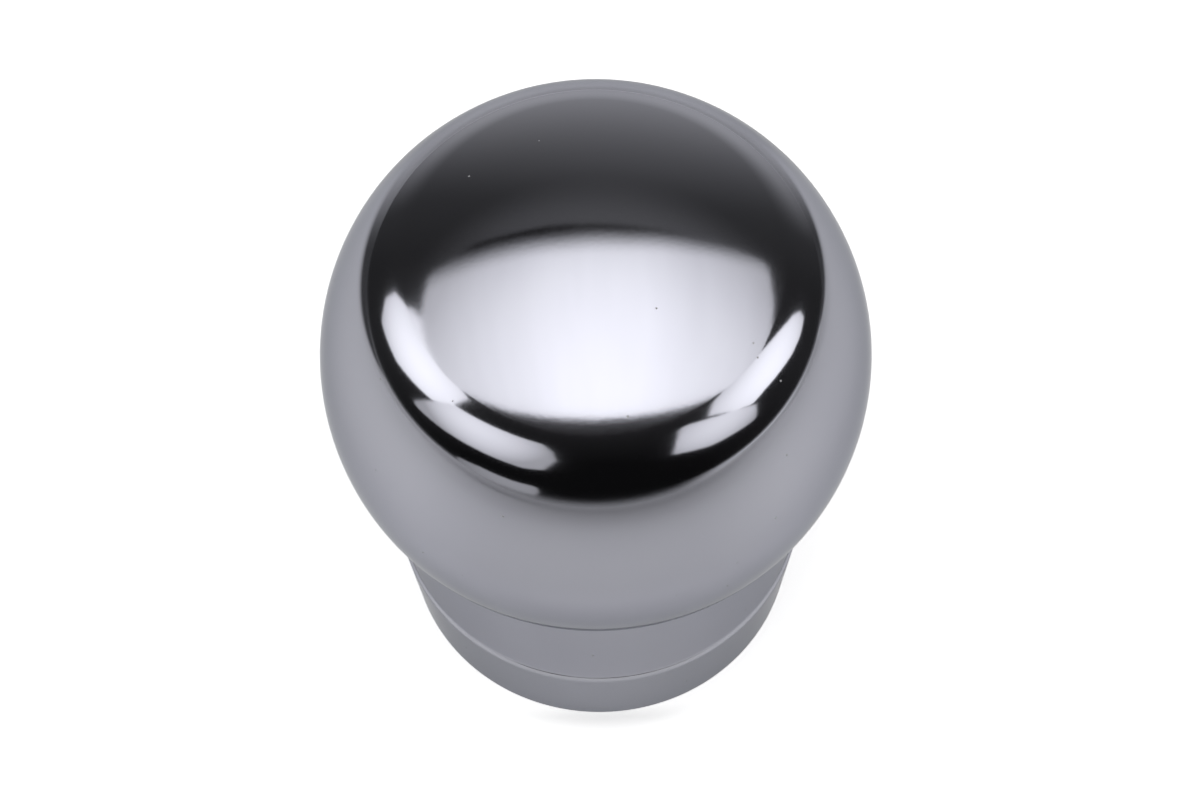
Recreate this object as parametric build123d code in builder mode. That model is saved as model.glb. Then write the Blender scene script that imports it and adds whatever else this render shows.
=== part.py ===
from build123d import *
from math import radians, sqrt, tan
import os

# Gear shift knob: a turned and polished head with its neck in one piece, and a base ring under the seam.
# Millimetres. The origin is the centre of the flat base, and +Z is the axis that everything is turned about.
# Sections are drawn as half outlines: the first number is the radius, the second the height.

# Head and neck
ball_diameter = 50.0
crown_radius = 50.0
crown_drop = 5.0  # the flattened top lies this far below the top of a full ball
shoulder_radius = 8.6  # rounds the crown over into the side of the ball
neck_inset = 5.3  # the neck stands in this far from the widest part of the ball
neck_height = 13.7  # from the seam up to the corner under the ball
waist_radius = 2.5  # hollow corner under the ball

# Base ring
ring_height = 10.9
ring_step = 0.2  # the ring's rim stands out this far from the neck
ring_bevel_width = 0.25  # bevel from the rim up to the seam
ring_bevel_height = 0.5
ring_taper = 0.95  # the ring narrows by this much on the radius, from the rim down to the base
ring_wall = 3.95  # measured at the base

# Spigot that the ring is pressed on
spigot_recess = 0.5  # the spigot stops this far above the base
ring_fit_clearance = 0.02

# Tapped socket for an M12 x 1.25 lever, drilled to the tapping size
socket_drill_diameter = 10.75
socket_mouth_diameter = 12.6
socket_depth = 24.0  # from the spigot's end to the end of the straight wall
drill_point_angle = 118.0

# Radii and heights that follow
ball_radius = ball_diameter / 2
neck_radius = ball_radius - neck_inset
rim_radius = neck_radius + ring_step
rim_height = ring_height - ring_bevel_height
bevel_radius = rim_radius - ring_bevel_width
base_radius = rim_radius - ring_taper
ring_bore_radius = base_radius - ring_wall
spigot_radius = ring_bore_radius - ring_fit_clearance

waist_height = ring_height + neck_height
ball_height = waist_height + sqrt(ball_radius**2 - neck_radius**2)
crown_height = ball_height + ball_radius - crown_drop

# The circle where the crown's arc would meet the ball without its shoulder
crown_centre_height = crown_height - crown_radius
centres_apart = ball_height - crown_centre_height
crown_edge_rise = (crown_radius**2 - ball_radius**2 - centres_apart**2) / (2 * centres_apart)
crown_edge_height = ball_height + crown_edge_rise
crown_edge_radius = sqrt(ball_radius**2 - crown_edge_rise**2)

socket_drill_radius = socket_drill_diameter / 2
socket_mouth_radius = socket_mouth_diameter / 2
socket_end = spigot_recess + socket_depth
drill_point_length = socket_drill_radius / tan(radians(drill_point_angle / 2))

# Corners of the head's section that are rounded
crown_corner = (crown_edge_radius, crown_edge_height)
waist_corner = (neck_radius, waist_height)

# Head, neck and spigot, turned as one piece
with BuildPart() as knob_body:
    with BuildSketch(Plane.XZ) as body_section:
        with BuildLine():
            crown = TangentArc((0, crown_height), crown_corner, tangent=(1, 0))
            ThreePointArc(crown_corner, (ball_radius, ball_height), waist_corner)
            Polyline(
                waist_corner,
                (neck_radius, ring_height),
                (spigot_radius, ring_height),
                (spigot_radius, spigot_recess),
                (0, spigot_recess),
                crown @ 0,
            )
        make_face()
        fillet(body_section.vertices().sort_by_distance(crown_corner)[0], shoulder_radius)
        fillet(body_section.vertices().sort_by_distance(waist_corner)[0], waist_radius)
    revolve(axis=Axis.Z)

    # Drilled and countersunk from below
    with BuildSketch(Plane.XZ):
        with BuildLine():
            Polyline(
                (0, spigot_recess),
                (socket_mouth_radius, spigot_recess),
                (socket_drill_radius, spigot_recess + socket_mouth_radius - socket_drill_radius),
                (socket_drill_radius, socket_end),
                (0, socket_end + drill_point_length),
                close=True,
            )
        make_face()
    revolve(axis=Axis.Z, mode=Mode.SUBTRACT)

# Ring under the seam, seated on the neck's lower face and pressed on the spigot
with BuildPart() as base_ring:
    with BuildSketch(Plane.XZ):
        with BuildLine():
            Polyline(
                (base_radius, 0),
                (rim_radius, rim_height),
                (bevel_radius, ring_height),
                (ring_bore_radius, ring_height),
                (ring_bore_radius, 0),
                close=True,
            )
        make_face()
    revolve(axis=Axis.Z)

knob_body.part.label = "knob_body"
base_ring.part.label = "base_ring"

os.makedirs("parts", exist_ok=True)
export_step(knob_body.part, "parts/knob_body.step")
export_step(base_ring.part, "parts/base_ring.step")
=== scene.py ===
import math

import bmesh
import bpy
from mathutils import Matrix, Vector


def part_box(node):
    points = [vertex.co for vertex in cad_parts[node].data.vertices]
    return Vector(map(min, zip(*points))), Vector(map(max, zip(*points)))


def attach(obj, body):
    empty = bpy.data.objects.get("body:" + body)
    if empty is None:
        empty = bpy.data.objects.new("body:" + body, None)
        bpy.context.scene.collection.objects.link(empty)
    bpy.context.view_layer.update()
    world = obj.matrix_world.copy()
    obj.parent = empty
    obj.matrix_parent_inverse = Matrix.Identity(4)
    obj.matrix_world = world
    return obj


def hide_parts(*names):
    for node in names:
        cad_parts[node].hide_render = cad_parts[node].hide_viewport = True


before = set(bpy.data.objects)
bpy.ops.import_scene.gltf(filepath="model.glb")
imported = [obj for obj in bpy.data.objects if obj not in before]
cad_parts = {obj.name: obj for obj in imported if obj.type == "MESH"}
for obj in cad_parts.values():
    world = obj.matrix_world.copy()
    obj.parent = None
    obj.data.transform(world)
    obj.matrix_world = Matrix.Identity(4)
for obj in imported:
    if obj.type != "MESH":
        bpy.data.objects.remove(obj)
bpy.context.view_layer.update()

MM = 0.001
TINY = 1e-6
WHITE = (1, 1, 1, 1)

# Sizes of the knob, in metres, as in the solids
body_low, body_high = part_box("knob_body")
_, ring_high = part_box("base_ring")
crown_height = body_high.z
ball_radius = body_high.x
crown_drop = 5.0 * MM
ball_height = crown_height + crown_drop - ball_radius
crown_radius = 50.0 * MM
shoulder_radius = 8.6 * MM
neck_radius = 19.7 * MM
waist_radius = 2.5 * MM
seam_height = ring_high.z
rim_radius = ring_high.x
ring_bevel_width = 0.25 * MM
ring_bevel_height = 0.5 * MM
rim_height = seam_height - ring_bevel_height
bevel_radius = rim_radius - ring_bevel_width
base_radius = 18.95 * MM
ring_bore_radius = 15.0 * MM
spigot_radius = 14.98 * MM
spigot_recess = body_low.z
socket_radius = 5.375 * MM
socket_mouth_radius = 6.3 * MM
socket_depth = 24.0 * MM
socket_end = spigot_recess + socket_depth
drill_point_angle = math.radians(118)

# Small edges and the lever's thread, which only this model has
neck_lip_width = 0.09 * MM
neck_lip_height = 0.38 * MM
neck_edge_radius = 0.02 * MM
bevel_edge_radius = 0.03 * MM
rim_edge_radius = 0.8 * MM
foot_edge_radius = 0.18 * MM
bore_chamfer = 0.2 * MM
spigot_chamfer = 0.3 * MM
thread_radius = 6.0 * MM
thread_pitch = 1.25 * MM
thread_runout = 3.0 * MM

# Fineness of the turned meshes
SEGMENTS = 192
ROWS_PER_PITCH = 10
SHARP_ANGLE = math.radians(32)

# Finishes of the faces, in the order of each piece's material slots
POLISHED, TURNED, THREADED = range(3)


# Outlines are lists of points: the first number is the radius, the second the height
def arc(centre, start, end, steps):
    """Points of the shorter arc about centre, from start to end."""
    a, b = start - centre, end - centre
    first = math.atan2(a.y, a.x)
    sweep = math.remainder(math.atan2(b.y, b.x) - first, math.tau)
    angles = [first + sweep * i / steps for i in range(steps + 1)]
    return [centre + a.length * Vector((math.cos(t), math.sin(t))) for t in angles]


def rounded_corner(before, corner, after, radius, steps=8):
    """Points of the arc that rounds a corner between two straight sides."""
    a, b = (before - corner).normalized(), (after - corner).normalized()
    half = a.angle(b) / 2
    reach = radius / math.tan(half)
    centre = corner + (a + b).normalized() * (radius / math.sin(half))
    return arc(centre, corner + a * reach, corner + b * reach, steps)


def straight(start, end, steps):
    """Points from start towards end, without the end itself."""
    return [start.lerp(end, i / steps) for i in range(steps)]


def circles_meet(centre_a, radius_a, centre_b, radius_b):
    """The right-hand point where two circles with centres on the axis meet."""
    apart = centre_b - centre_a
    rise = (radius_a**2 - radius_b**2 + apart**2) / (2 * apart)
    return Vector((math.sqrt(radius_a**2 - rise**2), centre_a + rise))


def finished(points, finish):
    """The points of an outline with the finish of the faces that start at them."""
    return [(point.x, point.y, finish) for point in points]


# Meshes and objects
def mesh_from(bm, name):
    """A new mesh with everything that was built in bm."""
    mesh = bpy.data.meshes.new(name)
    bm.to_mesh(mesh)
    bm.free()
    return mesh


def linked(name, data):
    """A new object in the scene."""
    obj = bpy.data.objects.new(name, data)
    bpy.context.scene.collection.objects.link(obj)
    return obj


def turned(name, outline, materials, closed=False):
    """A mesh turned about the Z axis from (radius, height, finish) points, as a new object."""
    bm = bmesh.new()
    turns = [math.tau * i / SEGMENTS for i in range(SEGMENTS)]
    rings = []
    for radius, height, _ in outline:
        if radius < TINY:
            places = [(0, 0, height)]
        else:
            places = [(radius * math.cos(t), radius * math.sin(t), height) for t in turns]
        rings.append([bm.verts.new(place) for place in places])
    pairs = list(zip(rings, rings[1:]))
    if closed:
        pairs.append((rings[-1], rings[0]))
    for (upper, lower), (_, _, finish) in zip(pairs, outline):
        for i in range(SEGMENTS):
            j = (i + 1) % SEGMENTS
            if len(upper) == 1:
                face = bm.faces.new((upper[0], lower[i], lower[j]))
            elif len(lower) == 1:
                face = bm.faces.new((upper[i], lower[0], upper[j]))
            else:
                face = bm.faces.new((upper[i], lower[i], lower[j], upper[j]))
            face.material_index = finish
            face.smooth = True
    bmesh.ops.recalc_face_normals(bm, faces=bm.faces)
    mesh = mesh_from(bm, name)
    mesh.set_sharp_from_angle(angle=SHARP_ANGLE)
    for material in materials:
        mesh.materials.append(material)
    return linked(name, mesh)


# Outline of the head, neck, spigot and socket
def body_outline():
    ball_centre = Vector((0, ball_height))
    crown_top = Vector((0, crown_height))
    crown_centre = Vector((0, crown_height - crown_radius))
    shoulder_centre = circles_meet(
        ball_height, ball_radius - shoulder_radius, crown_centre.y, crown_radius - shoulder_radius
    )
    crown_edge = crown_centre + (shoulder_centre - crown_centre).normalized() * crown_radius
    shoulder_end = ball_centre + (shoulder_centre - ball_centre).normalized() * ball_radius

    waist_out = neck_radius + waist_radius
    waist_drop = math.sqrt((ball_radius + waist_radius) ** 2 - waist_out**2)
    waist_centre = Vector((waist_out, ball_height - waist_drop))
    waist_top = ball_centre + (waist_centre - ball_centre).normalized() * ball_radius
    waist_foot = Vector((neck_radius, waist_centre.y))

    lip_radius = (neck_lip_height**2 + neck_lip_width**2) / (2 * neck_lip_width)
    lip_top = Vector((neck_radius, seam_height + neck_lip_height))
    lip_foot = Vector((neck_radius + neck_lip_width, seam_height))
    lip = arc(lip_top + Vector((lip_radius, 0)), lip_top, lip_foot, steps=8)
    spigot_top = Vector((spigot_radius, seam_height))
    spigot_foot = Vector((spigot_radius, spigot_recess))
    neck_edge = rounded_corner(lip[-2], lip_foot, spigot_top, neck_edge_radius, steps=4)
    polished = (
        arc(crown_centre, crown_top, crown_edge, steps=40)[:-1]
        + arc(shoulder_centre, crown_edge, shoulder_end, steps=40)[:-1]
        + arc(ball_centre, shoulder_end, waist_top, steps=90)[:-1]
        + arc(waist_centre, waist_top, waist_foot, steps=16)[:-1]
        + straight(waist_foot, lip_top, steps=12)
        + lip[:-1]
        + neck_edge[:-1]
    )

    lead_in = spigot_foot + Vector((0, spigot_chamfer))
    end_face = spigot_foot - Vector((spigot_chamfer, 0))
    mouth = Vector((socket_mouth_radius, spigot_recess))
    plain = [neck_edge[-1]]
    plain += straight(spigot_top, lead_in, steps=4)
    plain += [lead_in]
    plain += straight(end_face, mouth, steps=12)

    rows = round(socket_depth / thread_pitch * ROWS_PER_PITCH)
    wall = [mouth]
    for i in range(1, rows + 1):
        height = spigot_recess + socket_depth * i / rows
        countersink = socket_mouth_radius - (height - spigot_recess)
        wall.append(Vector((max(countersink, socket_radius), height)))
    drill_point = Vector((0, socket_end + socket_radius / math.tan(drill_point_angle / 2)))
    return (
        finished(polished, POLISHED)
        + finished(plain, TURNED)
        + finished(wall + [drill_point], THREADED)
    )


def thread_depth(turns):
    """Depth of a 60 degree thread, as a share, at a place along its pitch."""
    from_root = abs(turns - round(turns))
    half_root, half_groove = 0.0625, 0.375
    return min(1.0, max(0.0, (half_groove - from_root) / (half_groove - half_root)))


def cut_thread(piece):
    """Cuts the right-handed thread into the socket's wall."""
    for vertex in piece.data.vertices:
        x, y, z = vertex.co
        radius = math.hypot(x, y)
        in_wall = TINY < radius < socket_mouth_radius - TINY and spigot_recess < z <= socket_end
        if not in_wall:
            continue
        fade = min(1.0, max(0.0, (socket_end - thread_runout - z) / thread_pitch))
        turns = z / thread_pitch - math.atan2(y, x) / math.tau
        cut = socket_radius + (thread_radius - socket_radius) * thread_depth(turns) * fade
        wanted = max(radius, cut)
        vertex.co.x *= wanted / radius
        vertex.co.y *= wanted / radius


# Outline of the base ring
def ring_outline():
    bore_top = Vector((ring_bore_radius, seam_height))
    bore_foot = Vector((ring_bore_radius, 0))
    bevel_top = Vector((bevel_radius, seam_height))
    rim = Vector((rim_radius, rim_height))
    foot = Vector((base_radius, 0))
    bevel_edge = rounded_corner(bore_top, bevel_top, rim, bevel_edge_radius)
    rim_edge = rounded_corner(bevel_top, rim, foot, rim_edge_radius)
    foot_edge = rounded_corner(rim, foot, bore_foot, foot_edge_radius)
    side = straight(rim_edge[-1], foot_edge[0], steps=16)
    polished = bevel_edge + rim_edge[:-1] + side + foot_edge[:-1]
    inward = Vector((bore_chamfer, 0))
    upward = Vector((0, bore_chamfer))
    plain = straight(foot_edge[-1], bore_foot + inward, steps=8)
    plain += [bore_foot + inward, bore_foot + upward, bore_top - upward, bore_top + inward]
    return finished(polished, POLISHED) + finished(plain, TURNED)


# Sockets of a mix node that take its share and its two colours, and the one that gives its colour
MIX_SHARE, MIX_FIRST, MIX_SECOND, MIX_RESULT = 0, 6, 7, 2


# Node helpers
def feed(tree, node, inputs):
    """Sets a node's inputs, or links them where a socket is given."""
    for key, value in inputs.items():
        if isinstance(value, bpy.types.NodeSocket):
            tree.links.new(value, node.inputs[key])
        else:
            node.inputs[key].default_value = value


def add(tree, kind, inputs=None, **settings):
    """A new node with its settings and its inputs."""
    made = tree.nodes.new(kind)
    for key, value in settings.items():
        setattr(made, key, value)
    feed(tree, made, inputs or {})
    return made


def object_place(tree):
    """The place on the object, in metres."""
    return add(tree, "ShaderNodeTexCoord").outputs["Object"]


def axes(tree, place):
    """The X, Y and Z of a place."""
    return tuple(add(tree, "ShaderNodeSeparateXYZ", {0: place}).outputs)


def noise(tree, place, scale, detail=2.0):
    inputs = {"Vector": place, "Scale": scale, "Detail": detail}
    return add(tree, "ShaderNodeTexNoise", inputs).outputs[0]


def ranged(tree, value, span, result, shape="LINEAR"):
    """The value carried from one span to another and held at its ends."""
    low, high = span
    first, last = result
    ends = {"Value": value, "From Min": low, "From Max": high, "To Min": first, "To Max": last}
    return add(tree, "ShaderNodeMapRange", ends, interpolation_type=shape).outputs[0]


def eased(tree, value, span, result):
    """As ranged, with a gentle start and end."""
    return ranged(tree, value, span, result, "SMOOTHSTEP")


def math_node(tree, operation, first, second=0.0, third=0.0):
    inputs = {0: first, 1: second, 2: third}
    return add(tree, "ShaderNodeMath", inputs, operation=operation).outputs[0]


def times(tree, product, *values):
    """The product of all the values."""
    for value in values:
        product = math_node(tree, "MULTIPLY", product, value)
    return product


def plus(tree, total, *values):
    """The sum of all the values."""
    for value in values:
        total = math_node(tree, "ADD", total, value)
    return total


def vector_node(tree, operation, *vectors, output="Vector"):
    inputs = dict(enumerate(vectors))
    return add(tree, "ShaderNodeVectorMath", inputs, operation=operation).outputs[output]


def off_axis(tree, place):
    """The flat part of a place, square to the Z axis, and its length."""
    flat = vector_node(tree, "MULTIPLY", place, (1, 1, 0))
    return flat, vector_node(tree, "LENGTH", flat, output="Value")


def blended(tree, share, first, second):
    """A colour between two colours."""
    inputs = {MIX_SHARE: share, MIX_FIRST: first, MIX_SECOND: second}
    return add(tree, "ShaderNodeMix", inputs, data_type="RGBA").outputs[MIX_RESULT]


def around_axis(tree, place, fineness):
    """Noise in fine rings about the Z axis, with the given number of rings in a metre."""
    flat, radius = off_axis(tree, place)
    heading = vector_node(tree, "NORMALIZE", flat)
    rows = vector_node(tree, "MULTIPLY_ADD", place, (0, 0, fineness), heading)
    across = times(tree, radius, fineness)
    inputs = {"Vector": rows, "W": across, "Scale": 1.0, "Detail": 2.0}
    return add(tree, "ShaderNodeTexNoise", inputs, noise_dimensions="4D").outputs[0]


def bumped(tree, height, depth):
    """The normal of a surface with fine relief of the given depth."""
    inputs = {"Height": height, "Strength": 1.0, "Distance": depth}
    return add(tree, "ShaderNodeBump", inputs).outputs[0]


def principled(name, inputs):
    """A new material with its shader's inputs set, as (material, tree, shader, place)."""
    material = bpy.data.materials.new(name)
    material.use_nodes = True
    tree = material.node_tree
    shader = tree.nodes["Principled BSDF"]
    feed(tree, shader, inputs)
    return material, tree, shader, object_place(tree)


# Colours of the metal and of what lies on it
EDGE_TINT = (0.6, 0.61, 0.63, 1)
# Grime with painted shade, for the dark line in the seam
SEAM_GRIME_AND_SHADE = (0.035, 0.033, 0.03, 1)
DUST = (0.4, 0.4, 0.4, 1)
TOOL_MARK_DARK = (0.42, 0.42, 0.44, 1)
TOOL_MARK_LIGHT = (0.53, 0.53, 0.55, 1)
THREAD_CREST = (0.52, 0.52, 0.53, 1)
THREAD_ROOT = (0.19, 0.18, 0.17, 1)

# Depths of the metal's fine relief
POLISH_RELIEF = 0.0008 * MM
TOOL_MARK_RELIEF = 0.006 * MM
TEAR_RELIEF = 0.003 * MM


def metal(name):
    return principled(name, {"Metallic": 1.0, "Specular Tint": EDGE_TINT})


# Mirror polish with a faint haze, buffing marks about the axis, a few dust specks, and grime with
# painted shade in the seam, mostly on the front
def polished_metal(name, clear_colour, hazy_colour, roughness):
    material, tree, shader, place = metal(name)
    haze = noise(tree, place, scale=70, detail=4)
    buffing = around_axis(tree, place, fineness=2600)
    grain = noise(tree, place, scale=2400, detail=1)
    specks = add(tree, "ShaderNodeTexVoronoi", {"Vector": place, "Scale": 330})
    dust = ranged(tree, specks.outputs["Distance"], (0.02, 0.04), (1, 0))

    _, behind, height = axes(tree, place)
    # Painted shade with grime: a dark, patchy line along the seam, mostly on the front
    off_seam = math_node(tree, "ABSOLUTE", math_node(tree, "SUBTRACT", height, seam_height))
    near_seam = eased(tree, off_seam, (0.03 * MM, 0.17 * MM), (1, 0))
    clotted = ranged(tree, noise(tree, place, scale=260, detail=3), (0.42, 0.62), (0.6, 1))
    front = eased(tree, behind, (-19.5 * MM, -16 * MM), (1, 0.05))
    grime_and_seam_shade = times(tree, clotted, front, near_seam)

    hazy = ranged(tree, haze, (0.35, 0.7), (0, 1))
    colour = blended(tree, hazy, clear_colour, hazy_colour)
    colour = blended(tree, grime_and_seam_shade, colour, SEAM_GRIME_AND_SHADE)
    colour = blended(tree, dust, colour, DUST)

    dull = ranged(tree, haze, (0.3, 0.75), roughness)
    dull = math_node(tree, "MULTIPLY_ADD", math_node(tree, "SUBTRACT", buffing, 0.5), 0.02, dull)
    dull = math_node(tree, "MULTIPLY_ADD", math_node(tree, "MAXIMUM", grime_and_seam_shade, dust), 0.4, dull)
    ripple = math_node(tree, "MULTIPLY_ADD", buffing, 0.3, grain)
    feed(tree, shader, {
        "Base Color": colour,
        "Metallic": math_node(tree, "SUBTRACT", 1.0, dust),
        "Roughness": dull,
        "Normal": bumped(tree, ripple, POLISH_RELIEF),
    })
    return material


# Faces left as turned: fine tool marks about the axis
def turned_metal(name):
    material, tree, shader, place = metal(name)
    marks = around_axis(tree, place, fineness=7000)
    patches = noise(tree, place, scale=130, detail=3)
    shade = ranged(tree, marks, (0.3, 0.7), (0, 1))
    dull = ranged(tree, patches, (0.3, 0.7), (0.22, 0.36))
    feed(tree, shader, {
        "Base Color": blended(tree, shade, TOOL_MARK_DARK, TOOL_MARK_LIGHT),
        "Roughness": math_node(tree, "MULTIPLY_ADD", marks, 0.08, dull),
        "Normal": bumped(tree, marks, TOOL_MARK_RELIEF),
    })
    return material


# Thread: crests in the metal's plain colour, darker in patches towards the roots
def threaded_metal(name):
    material, tree, shader, place = metal(name)
    _, radius = off_axis(tree, place)
    depth = ranged(tree, radius, (socket_radius, thread_radius), (0, 1))
    thread_patches = noise(tree, place, scale=420, detail=3)
    darker_to_roots = times(tree, depth, ranged(tree, thread_patches, (0.3, 0.65), (0.35, 1)))
    tears = noise(tree, place, scale=5200)
    feed(tree, shader, {
        "Base Color": blended(tree, darker_to_roots, THREAD_CREST, THREAD_ROOT),
        "Roughness": ranged(tree, thread_patches, (0.3, 0.7), (0.34, 0.2)),
        "Normal": bumped(tree, tears, TEAR_RELIEF),
    })
    return material


# Pieces
turned_steel = turned_metal("turned_steel")
polished_body = polished_metal(
    "polished_body",
    clear_colour=(0.48, 0.482, 0.54, 1),
    hazy_colour=(0.495, 0.497, 0.55, 1),
    roughness=(0.074, 0.1),
)
threaded_steel = threaded_metal("threaded_steel")
body = turned("knob_body_turned", body_outline(), [polished_body, turned_steel, threaded_steel])
cut_thread(body)
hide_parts("knob_body")
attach(body, "root")

polished_ring = polished_metal(
    "polished_ring",
    clear_colour=(0.49, 0.493, 0.545, 1),
    hazy_colour=(0.505, 0.508, 0.555, 1),
    roughness=(0.085, 0.125),
)
ring = turned("base_ring_turned", ring_outline(), [polished_ring, turned_steel], closed=True)
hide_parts("base_ring")
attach(ring, "root")


# Studio: cards that glow round the knob, a dark room, a pale floor and a lamp, in metres and degrees
CARD_DISTANCE = 0.65
CARD_ROUNDING = 2.5
DIMMING_END = 1.3  # a card goes on dimming until here, in squares of its reach
ROOM_RADIUS = 1.5
ROOM_TURN = math.radians(-5)
FLOOR_RADIUS = 1.52
CORNER_SLANT = -0.11
LAMP_FORWARD = 0.16
LAMP_HEIGHT = 0.8


def staged(name, mesh, material):
    """A new object that belongs to the studio."""
    mesh.materials.append(material)
    obj = linked(name, mesh)
    return obj


def glowing(name):
    """A new material that only glows, as (material, tree, glow)."""
    material = bpy.data.materials.new(name)
    material.use_nodes = True
    tree = material.node_tree
    tree.nodes.clear()
    glow = add(tree, "ShaderNodeEmission")
    add(tree, "ShaderNodeOutputMaterial", {"Surface": glow.outputs[0]})
    return material, tree, glow


def toward(across, away):
    """The card point whose direction lies across and away degrees from straight up over the crown."""
    angle = math.radians(math.hypot(across, away))
    heading = math.atan2(across, away)
    flat = math.sin(angle)
    direction = Vector((flat * math.sin(heading), flat * math.cos(heading), math.cos(angle)))
    return Vector((0, 0, crown_height)) + direction * CARD_DISTANCE


def card(name, outline):
    """A glowing card with rounded corners at the given directions, as (tree, glow, place)."""
    corners = [Vector(direction) for direction in outline]
    previous = corners[-1:] + corners[:-1]
    following = corners[1:] + corners[:1]
    edge = []
    for before, corner, after in zip(previous, corners, following):
        rounded = rounded_corner(before, corner, after, CARD_ROUNDING, steps=4)
        edge += [toward(*point) for point in rounded]
    count = len(edge)
    middle = sum(edge, Vector()) / count
    mesh = bpy.data.meshes.new(name)
    mesh.from_pydata(edge + [middle], [], [(count, i, (i + 1) % count) for i in range(count)])
    material, tree, glow = glowing(name)
    staged(name, mesh, material).visible_camera = False
    return tree, glow, object_place(tree)


def dimming(tree, place, bright_spot, peak, edge, reach):
    """Strength that falls from the peak at a direction to the edge value, reach degrees from it."""
    away = vector_node(tree, "DISTANCE", place, toward(*bright_spot), output="Value")
    share = math_node(tree, "DIVIDE", away, math.radians(reach) * CARD_DISTANCE)
    least = peak - DIMMING_END * (peak - edge)
    return ranged(tree, times(tree, share, share), (0, DIMMING_END), (peak, least))


# Softbox overhead: a hot strip down its middle, faint folds in its cloth, and a soft, arched far edge
def top_softbox():
    tree, glow, place = card("top_softbox", [
        (-36.7, 18.5), (-34.3, 27.7), (-24, 33.2), (-8, 35.4), (8, 34.8), (24, 32.6), (36, 29.3),
        (37.7, 20), (37, 2), (24, -5.3), (19, -7.3), (13, -9), (7, -10), (0, -10.5),
        (-7, -10), (-13, -9), (-19, -7.2), (-24, -4.9), (-36, 2),
    ])
    strip_middle, arch_middle, arch_bend = 0.015, 0.06, 0.28
    across, behind, _ = axes(tree, place)
    dimmed = dimming(tree, place, bright_spot=(2, -3), peak=1.85, edge=1.1, reach=36)
    off_strip = math_node(tree, "ABSOLUTE", math_node(tree, "SUBTRACT", across, strip_middle))
    hot_strip = eased(tree, off_strip, (0.085, 0.19), (0.12, 0))
    along_folds = vector_node(tree, "MULTIPLY", place, (1, 0.08, 0.08))
    folds = ranged(tree, noise(tree, along_folds, scale=45), (0.3, 0.7), (0.98, 1.02))
    off_arch = math_node(tree, "SUBTRACT", across, arch_middle)
    arched = plus(tree, behind, times(tree, off_arch, times(tree, off_arch, arch_bend)))
    far_edge = eased(tree, arched, (0.28, 0.365), (1, 0))
    strength = times(tree, plus(tree, dimmed, hot_strip), folds, far_edge)
    feed(tree, glow, {"Strength": strength})


def plain_card(name, outline, bright_spot, peak, edge, reach):
    """A card that dims from its bright spot outward."""
    tree, glow, place = card(name, outline)
    feed(tree, glow, {"Strength": dimming(tree, place, bright_spot, peak, edge, reach)})


top_softbox()
plain_card(
    "left_softbox",
    [
        (-72.5, 19), (-62, 26), (-50, 26), (-38, 20.5), (-34, 12), (-29, 2),
        (-30, -6), (-38, -12), (-44, -16), (-57, -16), (-64, -8), (-70.5, 1),
    ],
    bright_spot=(-48, 0), peak=1.97, edge=1.05, reach=27,
)
plain_card(
    "right_softbox",
    [
        (28, 1), (41, 8.5), (56, 15.8), (63, 17.5), (69, 15.8), (70, 8), (68, 0),
        (63, -8), (58, -15), (55, -22), (44, -22.5), (31, -19), (27.5, -9),
    ],
    bright_spot=(52, -5), peak=1.97, edge=1.2, reach=23,
)
plain_card(
    "left_panel",
    [
        (-76, -19), (-42, -14.5), (-27, -23), (-16, -29), (-14.5, -36),
        (-15, -46), (-22, -57), (-32, -57), (-50, -46), (-69, -29),
    ],
    bright_spot=(-40, -26), peak=1.52, edge=0.85, reach=21,
)
plain_card(
    "right_panel",
    [(22, -20), (58, -23), (66, -33), (46, -46), (28, -47)],
    bright_spot=(42, -26), peak=1.4, edge=0.7, reach=22,
)
plain_card(
    "left_skirt",
    [(-70, -54), (-57, -62), (-43, -72), (-31, -77), (-32, -86), (-72, -59)],
    bright_spot=(-46, -74), peak=0.54, edge=0.25, reach=26,
)


def in_room(low, high):
    """A span in metres from two shares of the room's radius."""
    return low * ROOM_RADIUS, high * ROOM_RADIUS


# Dark room with a pale sweep at the back, seen only in reflections
def dark_room():
    bm = bmesh.new()
    bmesh.ops.create_uvsphere(bm, u_segments=64, v_segments=32, radius=ROOM_RADIUS)
    below = [vertex for vertex in bm.verts if vertex.co.z < -TINY]
    bmesh.ops.delete(bm, geom=below, context="VERTS")
    material, tree, glow = glowing("dark_room")
    across, behind, height = axes(tree, object_place(tree))
    back = eased(tree, behind, in_room(0.62, 1.02), (0, 0.53))
    low = eased(tree, height, in_room(0.1, 0.62), (1, 0.4))
    gloom = ranged(tree, behind, in_room(-0.7, 0.1), (0.006, 0.028))
    gloom = plus(tree, gloom, eased(tree, behind, in_room(0.4, 0.75), (0, 0.027)))
    hood = times(
        tree,
        eased(tree, height, in_room(0.68, 0.84), (0, 0.09)),
        eased(tree, behind, in_room(0.3, 0.55), (0, 1)),
    )
    skyline = times(
        tree,
        eased(tree, height, in_room(0, 0.06), (0.3, 0)),
        eased(tree, behind, in_room(-0.3, 0.5), (1, 0)),
        eased(tree, across, in_room(0.5, 0.9), (1, 3)),
    )
    sweep = math_node(tree, "MULTIPLY_ADD", back, low, gloom)
    feed(tree, glow, {"Strength": plus(tree, sweep, plus(tree, hood, skyline))})
    room = staged("dark_room", mesh_from(bm, "dark_room"), material)
    room.rotation_euler.z = ROOM_TURN
    room.visible_camera = False


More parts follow.
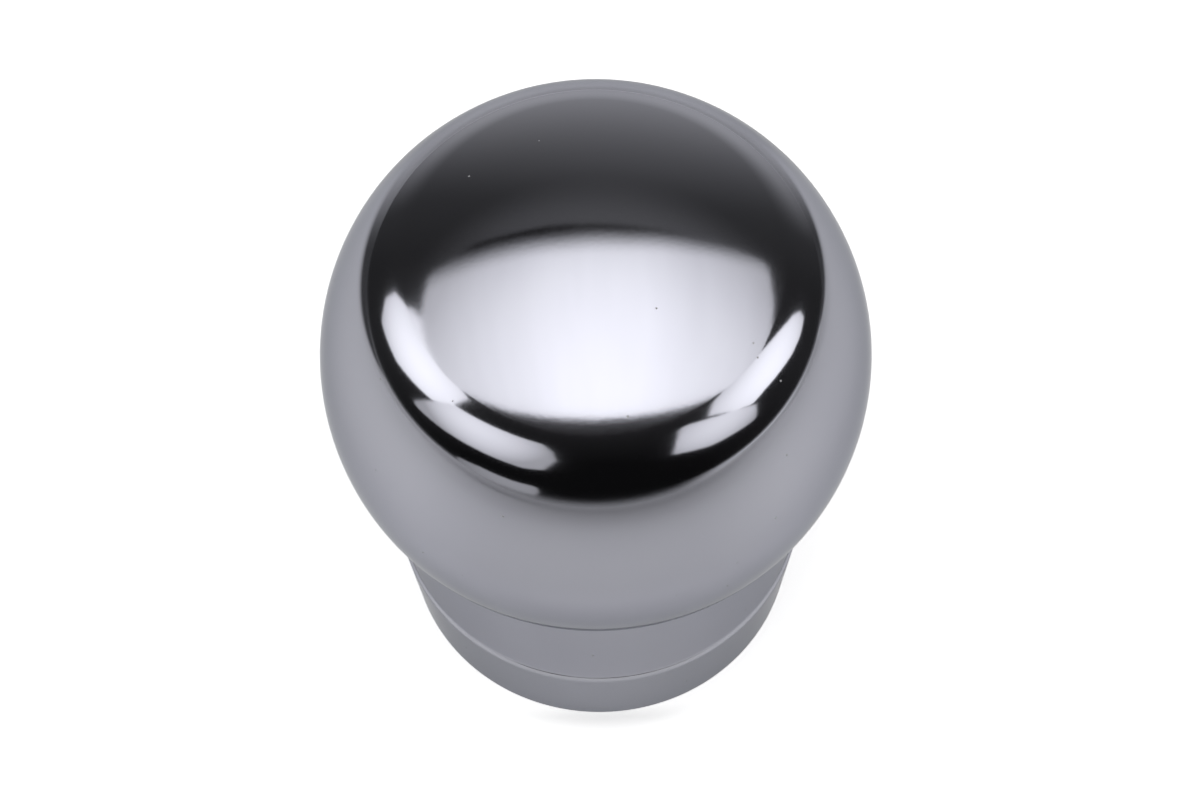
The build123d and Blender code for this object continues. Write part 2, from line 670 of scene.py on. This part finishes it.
# The floor shows white to the camera and pale in the metal, and keeps its shadow
def pale_floor():
    bm = bmesh.new()
    bmesh.ops.create_circle(bm, cap_ends=True, segments=128, radius=FLOOR_RADIUS)
    constants = {"Roughness": 0.9, "Specular IOR Level": 0.0, "Emission Color": WHITE}
    material, tree, shader, place = principled("floor", constants)
    rays = add(tree, "ShaderNodeLightPath").outputs
    mirrored = math_node(tree, "MAXIMUM", rays["Is Glossy Ray"], rays["Is Transmission Ray"])
    across, behind, _ = axes(tree, place)
    away = vector_node(tree, "LENGTH", place, output="Value")
    # From -1, straight in front of the knob, to 1, straight behind it
    heading = math_node(tree, "DIVIDE", behind, away)

    # How the floor shines in the metal: a painted glow, with painted shade just in front of the knob
    near = eased(tree, away, (0.02, 0.065), (0.15, 0))
    front_shade = times(
        tree,
        eased(tree, away, (0.022, 0.028), (0, 0.05)),
        eased(tree, away, (0.036, 0.05), (1, 0)),
        eased(tree, heading, (-0.96, -0.8), (1, 0)),
    )
    far = times(
        tree,
        eased(tree, away, (0.3, 1.3), (0, 0.42)),
        eased(tree, heading, (-1, -0.4), (0.8, 1)),
        eased(tree, heading, (0.3, 0.9), (1, 0.6)),
    )
    sides = times(
        tree,
        eased(tree, math_node(tree, "ABSOLUTE", across), (0.012, 0.04), (0, 0.13)),
        eased(tree, heading, (-0.95, -0.4), (0, 1)),
        eased(tree, heading, (0.78, 0.97), (1, 0)),
    )
    strip = times(
        tree,
        eased(tree, behind, (0.02, 0.1), (0, 0.12)),
        eased(tree, heading, (0.88, 0.99), (0, 1)),
    )
    rear = eased(tree, behind, (0.06, 0.3), (0, 0.14))
    shine = math_node(tree, "SUBTRACT", near, front_shade)
    shine = times(tree, mirrored, plus(tree, shine, far, sides, strip, rear))

    # How the camera sees it, with a thin painted contact shadow in front
    painted_contact_shadow = times(
        tree,
        eased(tree, away, (0.0194, 0.0215), (0.22, 0)),
        eased(tree, behind, (-0.0198, -0.018), (1, 0)),
    )
    shown = math_node(tree, "SUBTRACT", ranged(tree, away, (0.06, 0.7), (0.62, 1)), painted_contact_shadow)
    # The floor's colour darkens farther out, painted shade that shows in the metal
    feed(tree, shader, {
        "Base Color": eased(tree, away, (0.08, 0.35), (0.85, 0.69)),
        "Emission Strength": math_node(tree, "MULTIPLY_ADD", rays["Is Camera Ray"], shown, shine),
    })

    # Painted shade: dark corners on the floor behind the knob, which only the metal shows
    beyond = math_node(tree, "MULTIPLY_ADD", across, CORNER_SLANT, behind)
    corner = times(
        tree,
        eased(tree, beyond, (0.09, 0.175), (0, 0.93)),
        eased(tree, heading, (0.58, 0.95), (1, 0)),
    )
    dusk = add(tree, "ShaderNodeEmission", {"Strength": 0.03})
    shaders = {0: times(tree, mirrored, corner), 1: shader.outputs[0], 2: dusk.outputs[0]}
    surface = add(tree, "ShaderNodeMixShader", shaders).outputs[0]
    feed(tree, tree.nodes["Material Output"], {"Surface": surface})
    staged("floor", mesh_from(bm, "floor"), material)


# Soft light from the front that fills the floor and doesn't show in the metal
def front_fill():
    light = bpy.data.lights.new("front_fill", "AREA")
    light.size = 0.3
    light.energy = 1.4
    lamp = linked("front_fill", light)
    lamp.location = (0, -LAMP_FORWARD, LAMP_HEIGHT)
    lamp.rotation_euler.x = math.atan2(LAMP_FORWARD, LAMP_HEIGHT)
    lamp.visible_glossy = False


dark_room()
pale_floor()
front_fill()

world = bpy.data.worlds.new("studio_world")
world.use_nodes = True
world.node_tree.nodes["Background"].inputs["Color"].default_value = WHITE
bpy.context.scene.world = world

# Camera at the photograph's angle
PHOTO_SIZE = Vector((1200, 800))
BALL_PIXEL = Vector((595.8, 355.3))
BALL_PIXEL_RADIUS = 276.13
CAMERA_ELEVATION = math.radians(62.3)
CAMERA_ROLL = math.radians(-1.36)
CAMERA_DISTANCE = 12 * ball_radius

focal_pixels = BALL_PIXEL_RADIUS * math.sqrt((CAMERA_DISTANCE / ball_radius) ** 2 - 1)
offset = BALL_PIXEL - PHOTO_SIZE / 2
camera_data = bpy.data.cameras.new("photo_camera")
camera_data.sensor_width = 36
camera_data.lens = focal_pixels / PHOTO_SIZE.x * camera_data.sensor_width
camera_data.clip_start = 0.01
camera = linked("photo_camera", camera_data)
backward = Vector((0, -math.cos(CAMERA_ELEVATION), math.sin(CAMERA_ELEVATION)))
facing = Matrix.Rotation(math.pi / 2 - CAMERA_ELEVATION, 3, "X")
ball_direction = Vector((offset.x, -offset.y, -focal_pixels)).normalized()
aim = ball_direction.rotation_difference(Vector((0, 0, -1))).to_matrix()
turn = facing @ Matrix.Rotation(CAMERA_ROLL, 3, "Z") @ aim
stand = Vector((0, 0, ball_height)) + backward * CAMERA_DISTANCE
camera.matrix_world = Matrix.Translation(stand) @ turn.to_4x4()
bpy.context.scene.camera = camera

bpy.context.scene.view_settings.view_transform = "Standard"
